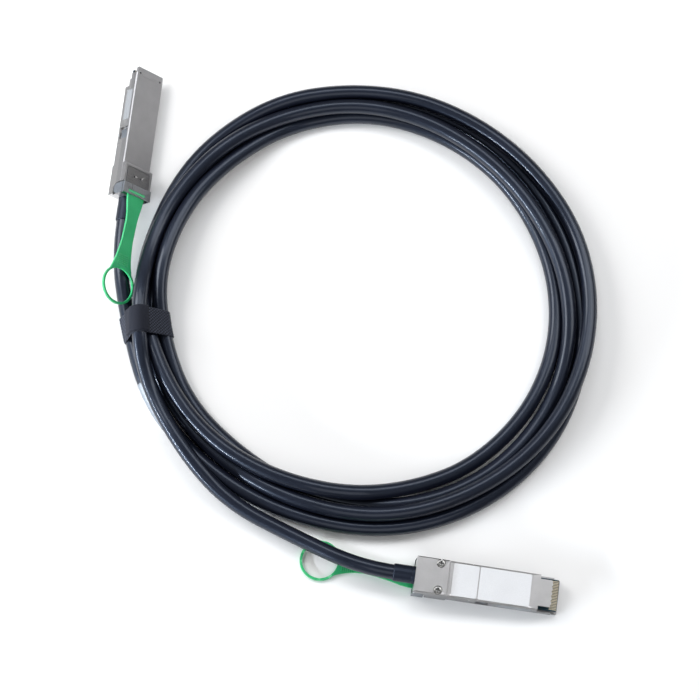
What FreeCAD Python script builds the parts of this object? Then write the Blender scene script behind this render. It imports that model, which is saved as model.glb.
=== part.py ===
import FreeCAD, Part
import math
import os

App = FreeCAD
V = App.Vector

# Passive direct attach copper cable: two die-cast four-lane plugs on one round
# twinax cable, coiled in four turns and held by a hook-and-loop strap.
# Frame: X right, Y away, Z up; the object lies on Z = 0.  Millimetres.

# ---------------------------------------------------------------- dimensions
CABLE_D = 7.8            # jacket diameter
CABLE_R = CABLE_D / 2.0

# plug, in its own frame: X from the cable end to the nose, Y across,
# Z from the latch side (0) to the label side (PLUG_H)
PLUG_L = 73.6
PLUG_W = 18.35
PLUG_H = 8.5
HALF_W = PLUG_W / 2.0
SPLIT_Z = 4.25           # parting plane of the two castings
EDGE_C = 0.5             # chamfer on the latch side long edges
TOP_C = 0.25             # chamfer on the label side long edges
WALL_END = 70.3          # low side walls beside the card stop here
COVER_END = 63.0         # label side roof stops here
TONGUE_END = 69.5        # middle tongue of the roof
TONGUE_HW = 6.9
FLOOR_T = 1.2            # floor and roof thickness
CABLE_Z = 4.25           # cable axis
HEAD_L = 16.9            # raised label side head
HEAD_UP = 0.9
SCREW_X = 12.15
SCREW_Y = 6.9
SCREW_HEAD_R = 2.0
LABEL_SPLIT = 32.1       # gap between the two labels

CARD_X0, CARD_X1 = 43.3, 72.9
CARD_HW = 8.2
CARD_T = 1.0
PADS = 19
PAD_PITCH = 0.8
PAD_W = 0.5

GROOVE_Y = 8.5           # floor of the latch arm grooves
POCKET_X0, POCKET_X1 = 31.9, 38.6
ARM_Y0, ARM_Y1 = 8.75, 9.15
RUN_Y0, RUN_Y1 = 8.15, 8.5   # latch arms inside the side walls
PLATE_Z0, PLATE_Z1 = -3.5, -3.1
LATCH_TRAVEL = 2.5

TAB_T = 1.25             # pull tab thickness
TAB_Z = -2.475           # middle plane of the pull tab
RING_R = 10.35           # finger ring
RING_HOLE_R = 9.1

BOOT_R = 4.5
BOOT_L_A = 13.0
BOOT_L_B = 11.0

# placement of the plugs: yaw, pitch, roll in degrees and the origin
A_YPR = (83.92, 0.70, 225.50)
A_AT = (-104.28, 73.78, 13.338)
B_YPR = (-7.88, 3.80, 0.00)
B_AT = (43.33, -128.99, 4.878)
A_RING = (-51.05, -2.60)          # ring centres in each plug's own X and Y
B_RING = (-48.00, 2.60)

# route of the cable, from the boot of plug A to the boot of plug B
ROUTE = [
    (-108.67, 61.13, 10.52), (-110.81, 41.09, 10.76), (-105.50, 7.42, 5.22),
    (-95.19, -31.60, 4.16), (-74.12, -61.43, 4.23), (-44.30, -85.44, 3.91),
    (-9.38, -100.06, 4.02), (27.79, -105.33, 3.94), (65.03, -97.66, 3.96),
    (97.78, -77.80, 3.95), (120.97, -48.39, 3.95), (132.86, -12.18, 3.95),
    (132.00, 25.99, 3.95), (122.41, 61.90, 3.95), (102.00, 94.53, 3.95),
    (73.65, 118.57, 3.95), (37.80, 133.61, 3.95), (0.96, 135.13, 3.97),
    (-35.24, 121.26, 3.94), (-63.92, 96.15, 4.00), (-82.89, 65.16, 3.90),
    (-92.22, 25.48, 4.81), (-96.05, -7.44, 5.06), (-76.25, -46.04, 3.78),
    (-51.73, -70.75, 4.25), (-19.27, -90.00, 8.71), (18.94, -98.93, 8.91),
    (55.31, -94.45, 10.22), (90.16, -77.38, 9.98), (116.98, -51.30, 12.02),
    (133.06, -16.70, 12.20), (137.81, 20.95, 10.50), (130.51, 57.95, 9.14),
    (110.30, 90.09, 11.18), (82.16, 115.37, 11.76), (48.09, 131.79, 12.13),
    (10.74, 136.75, 11.64), (-27.06, 130.36, 12.23), (-60.75, 111.30, 5.90),
    (-82.33, 84.80, 4.42), (-97.75, 44.62, 3.51), (-98.17, 13.03, 13.77),
    (-85.08, -26.54, 11.79), (-64.03, -55.90, 11.00), (-33.02, -76.88, 11.85),
    (6.05, -88.13, 13.09), (41.80, -83.83, 6.00), (75.16, -70.47, 3.74),
    (103.31, -42.73, 4.25), (118.50, -7.99, 3.92), (120.00, 29.41, 3.99),
    (108.14, 66.04, 3.93), (86.03, 96.39, 4.02), (54.09, 117.48, 3.90),
    (17.80, 126.38, 4.42), (-21.20, 119.89, 3.58), (-51.49, 99.04, 8.78),
    (-75.86, 71.86, 10.73), (-89.73, 32.71, 14.43), (-86.72, -2.21, 7.20),
    (-73.92, -36.19, 3.59), (-47.05, -64.22, 4.47), (-15.46, -84.10, 3.92),
    (22.45, -93.32, 3.98), (59.11, -87.98, 3.93), (92.08, -69.11, 4.30),
    (116.31, -37.80, 3.69), (126.78, -2.88, 7.25), (123.86, 34.56, 10.90),
    (108.41, 69.72, 11.70), (84.19, 98.45, 12.15), (52.79, 119.41, 11.86),
    (15.71, 128.85, 11.90), (-21.91, 123.58, 10.47), (-55.25, 105.88, 13.27),
    (-81.78, 77.08, 10.64), (-95.16, 45.02, 12.24), (-99.30, 6.00, 23.14),
    (-94.94, -27.66, 10.91), (-74.62, -64.86, 13.57), (-51.37, -90.39, 5.79),
    (-16.52, -108.74, 5.69), (15.62, -125.14, 11.00), (32.73, -127.52, 9.85),
]
TAIL_A_PTS = 3            # route points of the run from plug A into the coil
TAIL_B_PTS = 5            # route points of the run from the coil to plug B
# each run ends inside the coil, half way to the next route point

# outer shape of the coil: angle, inner radius, outer radius, underside and
# heights of the top at five places from the inner to the outer side
COIL_C = (19.39, 12.56)
COIL = [
    (0.0, 95.9, 121.0, 0.0, 7.0, 10.0, 12.0, 14.3, 13.9),
    (10.0, 96.3, 121.7, 0.0, 7.0, 13.4, 11.6, 13.5, 13.2),
    (20.0, 96.9, 122.3, 0.0, 7.0, 14.9, 8.2, 13.2, 13.0),
    (30.0, 97.8, 122.3, 0.0, 8.8, 15.5, 6.4, 13.6, 13.3),
    (40.0, 99.3, 122.2, 0.0, 12.4, 15.8, 5.8, 14.5, 14.1),
    (50.0, 100.9, 122.6, 0.0, 14.4, 15.9, 5.1, 15.2, 14.6),
    (60.0, 102.6, 123.4, 0.0, 14.5, 15.9, 4.7, 15.5, 14.9),
    (70.0, 104.4, 124.5, 0.0, 13.6, 15.8, 7.5, 15.8, 15.1),
    (80.0, 106.2, 125.7, 0.0, 9.4, 15.7, 13.3, 15.9, 15.1),
    (90.0, 107.7, 126.8, 0.0, 7.3, 15.4, 14.4, 15.7, 15.0),
    (100.0, 108.5, 127.9, 0.0, 7.3, 14.5, 14.4, 15.7, 15.0),
    (110.0, 108.7, 128.9, 0.0, 8.1, 13.5, 14.9, 15.5, 14.6),
    (120.0, 107.6, 129.4, 0.0, 9.6, 11.9, 15.9, 13.2, 12.6),
    (130.0, 106.6, 129.5, 0.0, 11.8, 12.2, 16.5, 10.6, 10.1),
    (140.0, 106.5, 128.5, 0.0, 13.1, 13.6, 15.7, 10.8, 8.3),
    (150.0, 106.1, 126.3, 0.0, 14.5, 15.2, 15.0, 13.8, 7.5),
    (160.0, 105.5, 124.6, 0.0, 16.0, 16.8, 15.9, 16.5, 8.4),
    (170.0, 104.8, 123.2, 0.0, 16.0, 17.0, 18.2, 20.0, 13.0),
    (175.0, 104.1, 122.0, 0.0, 15.2, 16.2, 16.8, 22.8, 21.4),
    (177.0, 103.8, 130.4, 0.0, 14.4, 15.1, 23.5, 14.1, 13.8),
    (179.0, 103.3, 130.4, 0.9, 13.8, 14.4, 23.9, 9.8, 10.0),
    (180.0, 103.1, 130.0, 0.9, 13.4, 13.9, 24.0, 13.7, 9.8),
    (185.0, 102.2, 128.0, 0.9, 11.8, 12.4, 22.9, 21.7, 8.8),
    (189.0, 101.6, 126.9, 0.9, 10.7, 11.4, 18.7, 22.3, 8.2),
    (190.0, 101.4, 126.7, 0.0, 10.2, 10.8, 16.6, 22.0, 8.0),
    (193.0, 101.0, 126.2, 0.0, 9.4, 11.5, 16.2, 20.4, 7.8),
    (200.0, 100.3, 125.4, 0.0, 8.3, 13.8, 15.3, 17.7, 9.6),
    (205.0, 99.6, 124.7, 0.0, 7.5, 14.0, 14.6, 16.2, 13.7),
    (210.0, 98.8, 123.8, 0.0, 7.1, 13.9, 14.1, 15.7, 15.4),
    (215.0, 97.9, 122.8, 0.0, 7.1, 14.0, 13.8, 10.3, 10.0),
    (220.0, 97.1, 121.9, 0.0, 7.2, 14.4, 13.6, 7.6, 7.3),
    (230.0, 96.3, 120.4, 0.0, 9.0, 15.1, 11.1, 7.5, 7.1),
    (240.0, 96.4, 119.4, 0.0, 12.3, 15.9, 10.8, 7.5, 7.1),
    (250.0, 96.6, 119.0, 0.0, 15.6, 16.0, 12.2, 7.6, 7.1),
    (260.0, 95.8, 119.4, 0.0, 15.3, 15.9, 12.5, 7.5, 7.1),
    (270.0, 94.8, 120.3, 0.0, 13.5, 14.0, 12.3, 8.7, 7.0),
    (280.0, 93.9, 121.1, 0.0, 10.9, 10.8, 11.8, 11.5, 7.0),
    (290.0, 93.7, 121.6, 0.0, 8.9, 8.5, 11.3, 12.4, 7.0),
    (300.0, 94.1, 121.9, 0.0, 7.7, 7.2, 9.1, 13.1, 7.0),
    (310.0, 94.2, 122.0, 0.0, 7.2, 6.8, 8.0, 14.0, 7.0),
    (320.0, 94.4, 121.6, 0.0, 7.1, 6.9, 8.0, 15.2, 7.0),
    (330.0, 94.7, 120.8, 0.0, 7.2, 7.2, 8.4, 15.8, 9.7),
    (340.0, 95.1, 119.7, 0.0, 7.1, 7.3, 9.4, 15.5, 15.2),
    (350.0, 95.5, 120.2, 0.0, 7.1, 8.0, 10.9, 15.1, 14.8),
]
STRAP_A0, STRAP_A1 = 180.4, 189.0   # stretch of the coil that holds the strap, degrees
STRAP_DIR = 185.65               # way the strap crosses the coil, degrees
STRAP_Y0, STRAP_Y1 = -8.4, 5.2   # its two edges either side of that line
STRAP_T = 0.9

# sleeve label on the outermost strand: start, middle and end of its arc
LABEL_ARC = [
    (-95.58, -26.43, 4.37),
    (-89.89, -38.24, 4.22),
    (-82.90, -48.94, 4.20),
]
LABEL_R = 4.15

# ------------------------------------------------------------------- helpers
def box(x0, x1, y0, y1, z0, z1):
    return Part.makeBox(x1 - x0, y1 - y0, z1 - z0, V(x0, y0, z0))


def both(f):
    """The shape f(+1) and its twin f(-1) across the plug's middle plane."""
    return [f(1), f(-1)]


def sbox(s, x0, x1, y0, y1, z0, z1):
    a, b = sorted((s * y0, s * y1))
    return box(x0, x1, a, b, z0, z1)


def poly(pts):
    vs = [V(*p) for p in pts]
    return Part.Face(Part.makePolygon(vs + [vs[0]]))


def prism_z(pts, z0, z1):
    return poly([(x, y, z0) for x, y in pts]).extrude(V(0, 0, z1 - z0))


def prism_x(pts, x0, x1):
    return poly([(x0, y, z) for y, z in pts]).extrude(V(x1 - x0, 0, 0))


def prism_y(pts, y0, y1):
    return poly([(x, y0, z) for x, z in pts]).extrude(V(0, y1 - y0, 0))


def cyl_x(r, x0, x1, y=0.0, z=CABLE_Z):
    return Part.makeCylinder(r, x1 - x0, V(x0, y, z), V(1, 0, 0))


def cyl_z(r, z0, z1, x, y):
    return Part.makeCylinder(r, z1 - z0, V(x, y, z0), V(0, 0, 1))


def fuse(shapes):
    s = shapes[0]
    if len(shapes) > 1:
        s = s.fuse(shapes[1:])
    return s.removeSplitter()


def cut(s, tools):
    return s.cut(fuse_raw(tools))


def fuse_raw(shapes):
    s = shapes[0]
    return s.fuse(shapes[1:]) if len(shapes) > 1 else s


def rounded(x0, x1, hw, r, n=5):
    """Outline of a rectangle with round corners."""
    pts = []
    for cx, cy, a0 in ((x1 - r, hw - r, 0), (x0 + r, hw - r, 90),
                       (x0 + r, -hw + r, 180), (x1 - r, -hw + r, 270)):
        for i in range(n + 1):
            a = math.radians(a0 + 90.0 * i / n)
            pts.append((cx + r * math.cos(a), cy + r * math.sin(a)))
    return pts


# ------------------------------------------------------------ pieces of a plug
def groove_cuts():
    t = []
    # closed channel for the latch arm, open at the head end and in the pocket
    t += both(lambda s: sbox(s, -1, POCKET_X0 + 0.5, 8.05, 8.62, 1.6, 6.5))
    t += both(lambda s: sbox(s, POCKET_X0, POCKET_X1, 7.95, 10, 1.0, 7.0))
    # round-topped seat of the latch plate's side
    t += both(lambda s: sbox(s, -1, 6.3, GROOVE_Y, 10, -6, 2.3))
    t += both(lambda s: Part.makeCylinder(3.4, 2.0, V(2.7, GROOVE_Y if s > 0 else -GROOVE_Y - 2.0, 2.3), V(0, 1, 0)))
    t += both(lambda s: sbox(s, -1, 2.7, GROOVE_Y, 10, 2.0, 5.7))
    # small notch ahead of the latch pocket
    t += both(lambda s: sbox(s, 28.1, 28.7, 8.9, 10, 6.4, 9))
    t.append(box(42.8, 60.7, -10, -9.075, 1.4, 6.5))
    return t


def base_shell():
    c = EDGE_C
    prof = [(-HALF_W, SPLIT_Z), (-HALF_W, c), (-HALF_W + c, 0), (HALF_W - c, 0), (HALF_W, c), (HALF_W, SPLIT_Z)]
    body = prism_x(prof, 0, WALL_END)
    tip = prism_z([(WALL_END - 0.2, -HALF_W + c), (73.2, -HALF_W + c), (PLUG_L, -8.3), (PLUG_L, 8.3),
                   (73.2, HALF_W - c), (WALL_END - 0.2, HALF_W - c)], 0, FLOOR_T)
    head = prism_y([(6.3, 0.5), (6.3, -2.4), (16.5, -2.4), (17.2, -1.5), (17.2, 0.5)], -9.1, 9.1)
    body = fuse([body, tip, head])
    tools = [cyl_x(CABLE_R + 0.05, -1, 11.05), cyl_x(4.2, 11, 14.5),
             box(14.4, 43.2, -6.6, 6.6, FLOOR_T, 6),
             box(43.1, 63.1, -7.4, 7.4, FLOOR_T, 6), box(63.0, 71.0, -8.35, 8.35, FLOOR_T, 6)]
    tools += both(lambda s: cyl_z(0.65, -1, 2, 70.2, s * 6.9))
    tools += both(lambda s: cyl_z(0.83, 1.2, 6, SCREW_X, s * SCREW_Y))
    tools += both(lambda s: sbox(s, 7.4, 14.4, 5.0, 7.0, -3, 0.2))
    tools += both(lambda s: sbox(s, 6.0, 7.5, 5.1, 6.9, -3, -1.3))
    # seat of the retainer plate
    tools.append(box(6.0, 15.35, -7.8, 7.8, -3, -2.0))
    # shallow step along one edge near the nose, and a line across the nose
    tools.append(box(69.0, 69.25, -8.2, 8.2, -1, 0.1))
    tools.append(box(50.0, 74.0, HALF_W - 0.35, 10, -1, 0.9))
    tools += groove_cuts()
    return cut(body, tools)


def cover_shell():
    c = TOP_C
    h = PLUG_H
    prof = [(-HALF_W, SPLIT_Z), (HALF_W, SPLIT_Z), (HALF_W, h - c), (HALF_W - c, h), (-HALF_W + c, h), (-HALF_W, h - c)]
    body = prism_x(prof, 0, COVER_END)
    hh = h + HEAD_UP
    hp = [(-HALF_W, h - 1.0), (HALF_W, h - 1.0), (HALF_W, hh - c), (HALF_W - c, hh), (-HALF_W + c, hh), (-HALF_W, hh - c)]
    head = prism_x(hp, 0, HEAD_L)
    head = head.cut(prism_y([(HEAD_L - 0.6, hh + 0.01), (HEAD_L + 0.1, hh + 0.01), (HEAD_L + 0.1, hh - 0.7)], -10, 10))
    # tongue with a shallow scalloped end
    pts = [(COVER_END - 0.5, -TONGUE_HW), (TONGUE_END - 0.8, -TONGUE_HW), (TONGUE_END - 0.2, -TONGUE_HW + 0.6)]
    n = 36
    for i in range(n + 1):
        y = -TONGUE_HW + 0.9 + (2 * TONGUE_HW - 1.8) * i / n
        pts.append((TONGUE_END - 0.22 + 0.22 * math.cos(y * 2 * math.pi / 2.4), y))
    pts += [(TONGUE_END - 0.2, TONGUE_HW - 0.6), (TONGUE_END - 0.8, TONGUE_HW), (COVER_END - 0.5, TONGUE_HW)]
    tongue = prism_z(pts, h - FLOOR_T, h)
    body = fuse([body, head, tongue])
    tools = [cyl_x(CABLE_R + 0.05, -1, 11.05), cyl_x(4.2, 11, 14.5),
             box(14.4, 43.2, -6.6, 6.6, 3, h - FLOOR_T),
             box(43.1, 66.5, -8.3, 8.3, 3, SPLIT_Z + CARD_T + 0.05),
             box(43.1, 66.5, -7.4, 7.4, 3, h - FLOOR_T)]
    tools += both(lambda s: cyl_z(SCREW_HEAD_R + 0.3, 8.4, 11, SCREW_X, s * SCREW_Y))
    tools += both(lambda s: cyl_z(0.87, 3, 9, SCREW_X, s * SCREW_Y))
    tools.append(prism_z(rounded(18.6, 58.8, 8.5, 1.1), h - 0.15, h + 0.5))
    # seams: along both long edges, across the foot of the head and between the labels
    tools += both(lambda s: sbox(s, HEAD_L + 0.35, 61.8, 8.52, 8.8, h - 0.5, h + 1))
    tools += both(lambda s: sbox(s, 0.8, HEAD_L - 0.6, 8.62, 8.88, hh - 0.45, hh + 1))
    tools.append(box(HEAD_L + 0.1, HEAD_L + 0.35, -8.8, 8.8, h - 0.35, h + 0.5))
    tools.append(box(LABEL_SPLIT - 0.14, LABEL_SPLIT + 0.14, -8.5, 8.5, h - 0.5, h + 0.5))
    tools += groove_cuts()
    return cut(body, tools)


def cover_screws():
    out = []
    for s in (1, -1):
        y = s * SCREW_Y
        head = cyl_z(SCREW_HEAD_R, 8.45, 9.2, SCREW_X, y)
        dome = Part.makeCone(SCREW_HEAD_R, 1.5, 0.2, V(SCREW_X, y, 9.2), V(0, 0, 1))
        shank = cyl_z(0.8, 1.4, 8.5, SCREW_X, y)
        k = fuse([head, dome, shank])
        cross = [box(SCREW_X - 1.25, SCREW_X + 1.25, y - 0.22, y + 0.22, 8.85, 10),
                 box(SCREW_X - 0.22, SCREW_X + 0.22, y - 1.25, y + 1.25, 8.85, 10)]
        out.append(cut(k, cross))
    return Part.makeCompound(out)


def paddle_card():
    hw = CARD_HW
    pts = [(CARD_X0, -hw), (CARD_X1 - 0.5, -hw), (CARD_X1, -hw + 0.5), (CARD_X1, hw - 0.5), (CARD_X1 - 0.5, hw), (CARD_X0, hw)]
    return prism_z(pts, SPLIT_Z, SPLIT_Z + CARD_T)


def contact_pads():
    out = []
    for i in range(PADS):
        y = (i - (PADS - 1) / 2.0) * PAD_PITCH
        out.append(box(69.0, 72.7, y - PAD_W / 2, y + PAD_W / 2, SPLIT_Z + CARD_T, SPLIT_Z + CARD_T + 0.06))
        out.append(box(70.3, 72.7, y - PAD_W / 2, y + PAD_W / 2, SPLIT_Z - 0.06, SPLIT_Z))
    return Part.makeCompound(out)


def memory_chip():
    z = SPLIT_Z + CARD_T
    parts = [box(53.5, 57.5, -2.5, 2.5, z + 0.1, z + 1.4)]
    for i in range(4):
        y = (i - 1.5) * 1.1
        for x0, x1 in ((52.7, 53.7), (57.3, 58.3)):
            parts.append(box(x0, x1, y - 0.2, y + 0.2, z, z + 0.5))
    return fuse(parts)


def rect_wire(x, y, z, w, h):
    p = [V(x, y - w / 2, z - h / 2), V(x, y + w / 2, z - h / 2), V(x, y + w / 2, z + h / 2), V(x, y - w / 2, z + h / 2)]
    return Part.makePolygon(p + [p[0]])


def twinax_pairs():
    out = []
    for row in (1, -1):
        z0 = CABLE_Z + row * 0.66
        z1 = SPLIT_Z + CARD_T + 0.6 if row > 0 else SPLIT_Z - 0.6
        for i in range(4):
            k = i - 1.5
            a = rect_wire(14.4, k * 1.5, z0, 1.3, 1.15)
            b = rect_wire(26.0, k * 3.1, z1, 2.3, 1.15)
            fan = Part.makeLoft([a, b], True, True)
            bar = box(26.0, 47.5, k * 3.1 - 1.15, k * 3.1 + 1.15, z1 - 0.575, z1 + 0.575)
            out.append(fuse([fan, bar]))
    return Part.makeCompound(out)


def crimp_ferrule():
    return cyl_x(4.12, 11.1, 14.3).cut(cyl_x(3.3, 10, 15))


def cable_end(boot_l):
    return cyl_x(CABLE_R, -boot_l, 11.0)


def cable_boot(boot_l):
    s = cyl_x(BOOT_R, -boot_l + 0.6, 0.0)
    tip = Part.makeCone(CABLE_R + 0.3, BOOT_R, 0.6, V(-boot_l, 0, CABLE_Z), V(1, 0, 0))
    s = fuse([s, tip])
    tools = [cyl_x(CABLE_R + 0.02, -boot_l - 1, 1)]
    tools.append(cyl_x(BOOT_R + 1, -1.75, -1.45).cut(cyl_x(BOOT_R - 0.15, -2.5, -0.5)))
    return cut(s, tools)


def latch_slider():
    plate = box(-0.3, 5.7, -ARM_Y1, ARM_Y1, PLATE_Z0, PLATE_Z1)
    parts = [plate]
    # round-topped sides, stepping inwards to the arms
    parts += both(lambda s: sbox(s, -0.3, 5.7, ARM_Y0, ARM_Y1, PLATE_Z0, 2.3))
    parts += both(lambda s: Part.makeCylinder(3.0, ARM_Y1 - ARM_Y0, V(2.7, ARM_Y0 if s > 0 else -ARM_Y1, 2.3), V(0, 1, 0)))
    parts += both(lambda s: sbox(s, 3.2, 3.8, RUN_Y0, ARM_Y1 - 0.1, 2.0, 4.6))
    parts += both(lambda s: sbox(s, 3.2, 34.8, RUN_Y0, RUN_Y1, 1.9, 6.2))
    for s in (1, -1):
        pts = [(34.7, s * RUN_Y0), (36.9, s * 8.6), (36.9, s * 9.0), (34.7, s * RUN_Y1)]
        parts.append(prism_z(pts, 1.9, 6.2))
    parts += both(lambda s: sbox(s, 5.3, 5.7, 5.3, 6.7, PLATE_Z0, -1.55))
    parts += both(lambda s: sbox(s, 5.3, 13.4, 5.3, 6.7, -1.85, -1.55))
    parts += both(lambda s: sbox(s, 13.1, 13.4, 5.3, 6.7, -1.85, 0.05))
    body = fuse(parts)
    return cut(body, [box(0.7, 2.3, -5.6, 5.6, -4, -3.0)])


def return_springs():
    out = []
    for s in (1, -1):
        h = Part.makeHelix(0.76, 5.2, 0.6)
        prof = Part.Wire([Part.makeCircle(0.14, V(0.6, 0, 0), V(0, 1, 0))])
        sp = Part.Wire(h.Edges).makePipeShell([prof], True, True)
        if not sp.isValid() or sp.Volume <= 0:
            sp = sp.reversed()
        sp.Placement = App.Placement(V(7.65, s * 6.0, -0.7), App.Rotation(V(0, 1, 0), 90))
        out.append(sp)
    return Part.makeCompound(out)


def latch_retainer():
    p = prism_z(rounded(6.4, 15.0, 7.45, 0.5), -2.4, -2.0)
    return cut(p, both(lambda s: cyl_z(0.5, -2.41, -2.2, 10.6, s * 2.2)))


def tab_outline(ring_x, ring_y, bow):
    """Planform of the pull tab behind the head, drifting sideways to ring_y
    with a sideways bow on the way."""
    side = [(0.8, 5.4), (-1.9, 5.35), (-6.0, 4.7), (-10.0, 3.95), (-14.0, 3.55), (-20.0, 3.5), (-25.5, 3.55),
            (-31.0, 4.15), (-36.0, 5.0), (-39.5, 5.9), (-42.5, 6.9), (-45.0, 7.5)]
    k = (ring_x + 6.0) / -44.5
    side = [(x if x > -6.0 else -6.0 + (x + 6.0) * k, w) for x, w in side]

    def mid(x):
        t = min(max((-x - 4.0) / (-ring_x - 4.0), 0.0), 1.0)
        return ring_y * t * t * (3 - 2 * t) + bow * math.sin(math.pi * t) ** 2
    up = [(x, mid(x) + w) for x, w in side]
    dn = [(x, mid(x) - w) for x, w in reversed(side)]
    return up + dn


def pull_tab(ring_x, ring_y, bent):
    zlo, zhi = -12.0, 3.0
    plan = prism_z(tab_outline(ring_x, ring_y, 1.5 if bent else 0.0), zlo, zhi)
    ring = cyl_z(RING_R, zlo, zhi, ring_x, ring_y)
    plan = plan.fuse(ring).cut(cyl_z(RING_HOLE_R, zlo - 1, zhi + 1, ring_x, ring_y))
    t = TAB_T / 2.0
    if bent:
        # bent down behind the head until it lies flat on the floor
        a1 = math.radians(B_YPR[1] + 7.6)
        a2 = math.radians(B_YPR[1])
        mid = [(0.5, TAB_Z), (-3.0, TAB_Z)]
        mid.append((-3.0 - 12.0 * math.cos(a1), TAB_Z - 12.0 * math.sin(a1)))
        x, z = mid[-1]
        mid.append((x - 52.0 * math.cos(a2), z - 52.0 * math.sin(a2)))
    else:
        mid = [(0.5, TAB_Z), (-64.0, TAB_Z)]
    prof = [(x, z + t) for x, z in mid] + [(x, z - t) for x, z in reversed(mid)]
    strip = prism_y(prof, -13, 13)
    s = plan.common(strip)
    # grip ribs ahead of the ring, on both faces
    ribs = []
    for i in range(6):
        x = ring_x + 16.6 - 1.05 * i
        zc = TAB_Z
        for (xa, za), (xb, zb) in zip(mid[:-1], mid[1:]):
            if xb <= x <= xa:
                zc = za + (zb - za) * (x - xa) / (xb - xa)
        yc = ring_y * 0.8
        ribs.append(box(x - 0.24, x + 0.24, yc - 3.5, yc + 3.5, zc - t - 0.2, zc + t + 0.2))
    root = box(0.2, 5.0, -7.4, 7.4, PLATE_Z1, -1.85)
    rib = box(0.8, 2.2, -5.5, 5.5, PLATE_Z0 + 0.08, PLATE_Z1 + 0.1)
    return fuse([s, root, rib] + ribs)


def cover_label(x0, x1):
    return prism_z(rounded(x0, x1, 8.35, 0.8), PLUG_H - 0.15, PLUG_H - 0.05)


def side_label():
    return prism_y([(43.0, 1.6), (60.5, 1.6), (60.5, 6.3), (43.0, 6.3)], -9.165, -9.08)


def place(ypr, at):
    return App.Placement(V(*at), App.Rotation(*ypr))


def plug(tag, ypr, at, boot_l, ring, bent):
    out = {
        "base_shell": base_shell(),
        "cover_shell": cover_shell(),
        "cover_screws": cover_screws(),
        "paddle_card": paddle_card(),
        "contact_pads": contact_pads(),
        "memory_chip": memory_chip(),
        "twinax_pairs": twinax_pairs(),
        "crimp_ferrule": crimp_ferrule(),
        "cable_end": cable_end(boot_l),
        "cable_boot": cable_boot(boot_l),
        "latch_slider": latch_slider(),
        "return_springs": return_springs(),
        "latch_retainer": latch_retainer(),
        "pull_tab": pull_tab(ring[0], ring[1], bent),
        "rear_label": cover_label(18.8, LABEL_SPLIT - 0.3),
        "front_label": cover_label(LABEL_SPLIT + 0.3, 58.6),
        "side_label": side_label(),
    }
    pl = place(ypr, at)
    res = {}
    for k, s in out.items():
        s = s.copy()
        s.Placement = pl.multiply(s.Placement)
        res[k + "_" + tag] = s
    return res


# ------------------------------------------------------------------ the cable
def tube(pts, name):
    """Straight runs joined by tangent arcs, swept with the cable's section."""
    p = [V(*q) for q in pts]
    n = len(p)
    edges = []
    at = p[0]
    length = 0.0
    radii = []
    for i in range(1, n - 1):
        a = p[i - 1] - p[i]
        b = p[i + 1] - p[i]
        la, lb = a.Length, b.Length
        ua, ub = a / la, b / lb
        turn = math.pi - ua.getAngle(ub)
        if turn < 0.004:
            continue
        d = 0.45 * min(la, lb)
        r = d / math.tan(turn / 2)
        t0 = p[i] + ua * d
        t1 = p[i] + ub * d
        bis = (ua + ub)
        bis = bis / bis.Length
        c = p[i] + bis * (r / math.cos(turn / 2))
        m = c - bis * r
        if (t0 - at).Length > 1e-4:
            edges.append(Part.LineSegment(at, t0).toShape())
            length += (t0 - at).Length
        edges.append(Part.Arc(t0, m, t1).toShape())
        length += r * turn
        at = t1
        radii.append(r)
    edges.append(Part.LineSegment(at, p[-1]).toShape())
    length += (p[-1] - at).Length
    w = Part.Wire(edges)
    d0 = p[1] - p[0]
    prof = Part.Wire([Part.makeCircle(CABLE_R, p[0], d0 / d0.Length)])
    s = w.makePipeShell([prof], True, False)
    if s.Volume < 0:
        s = s.reversed()
    vol = math.pi * CABLE_R ** 2 * length
    print(name, "length %.1f" % length, "volume ratio %.4f" % (s.Volume / vol),
          "radii", " ".join("%.0f" % r for r in radii), "valid", s.isValid())
    return s


def halfway(a, b):
    return tuple((u + v) / 2.0 for u, v in zip(a, b))


def coil_section(row, grow=0.0, under=None):
    a, ri, ro, zb, z1, z2, z3, z4, z5 = row
    if under is not None:
        zb = under
    ri -= grow
    ro += grow
    w = ro - ri
    g = grow
    rz = [(ri, zb + 2.2), (ri + 1.8, zb), (ro - 1.8, zb), (ro, zb + 2.2), (ro, z5 - 1.6 + g), (ro - 1.6, z5 + g),
          (ri + 0.75 * w, z4 + g), (ri + 0.5 * w, z3 + g), (ri + 0.25 * w, z2 + g), (ri + 1.6, z1 + g), (ri, z1 - 1.6 + g)]
    t = math.radians(a)
    return [V(COIL_C[0] + r * math.cos(t), COIL_C[1] + r * math.sin(t), z) for r, z in rz]


def shell_of(sections, closed):
    faces = []
    n = len(sections)
    m = len(sections[0])
    for i in range(n if closed else n - 1):
        A, B = sections[i], sections[(i + 1) % n]
        for j in range(m):
            k = (j + 1) % m
            for tri in ((A[j], B[j], B[k]), (A[j], B[k], A[k])):
                faces.append(Part.Face(Part.makePolygon([tri[0], tri[1], tri[2], tri[0]])))
    if not closed:
        for S in (sections[0], sections[-1]):
            faces.append(Part.Face(Part.makePolygon(S + [S[0]])))
    s = Part.Solid(Part.makeShell(faces))
    if s.Volume < 0:
        s = s.reversed()
    return s


def coil_solid():
    """The coil's outer shape, with room for the finger ring of plug A, which
    lies tucked under the topmost strand."""
    coil = shell_of([coil_section(r) for r in COIL], True)
    lo = TAB_Z - TAB_T / 2 - 0.7
    hi = TAB_Z + TAB_T / 2 + 0.7
    r = RING_R + 0.7
    x, y = A_RING
    room = fuse([cyl_z(r, lo, hi, x, y), cyl_z(r, lo, hi, x - LATCH_TRAVEL, y),
                 box(x - LATCH_TRAVEL, x, y - r, y + r, lo, hi),
                 box(x - 2, x + 16.5, y - r + 1.5, y + r - 1.5, lo, hi)])
    room.Placement = place(A_YPR, A_AT).multiply(room.Placement)
    return coil.cut(room)


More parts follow.
